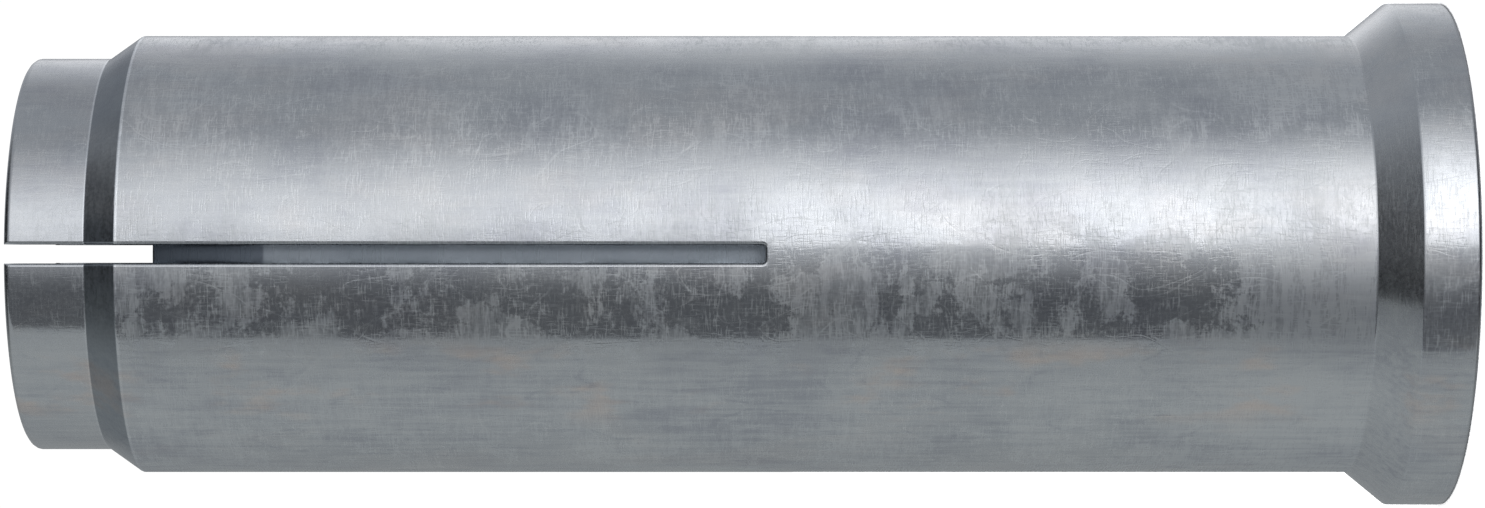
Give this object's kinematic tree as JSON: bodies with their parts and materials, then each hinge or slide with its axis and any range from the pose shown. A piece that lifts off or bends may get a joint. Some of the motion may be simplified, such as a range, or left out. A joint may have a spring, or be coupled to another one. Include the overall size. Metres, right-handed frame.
{
  "type": "drop-in anchor",
  "caption": "Drop-in anchor: a turned steel sleeve with a flared rim, an internal thread and a slotted expansion end that holds an expander plug.",
  "frame": {"origin": "centre of the rim face, on the surface that the anchor stands on", "axes": "+Z along the sleeve's axis, from the threaded mouth towards the expansion end; one slot faces -Y"},
  "size_m": [0.0286, 0.0286, 0.08],
  "materials": {
    "zinc_plated_steel": "zinc-plated turned steel, bluish grey, cloudy and finely scratched",
    "bright_steel": "bright turned steel with faint turning rings"
  },
  "bodies": {
    "sleeve": {"sleeve": "zinc_plated_steel"},
    "plug": {"expander_plug": "bright_steel"}
  },
  "joints": [
    {"name": "plug_drive", "type": "slide", "parent": "sleeve", "child": "plug", "axis": [0, 0, 1], "range_m": [0, 0.0035]}
  ]
}
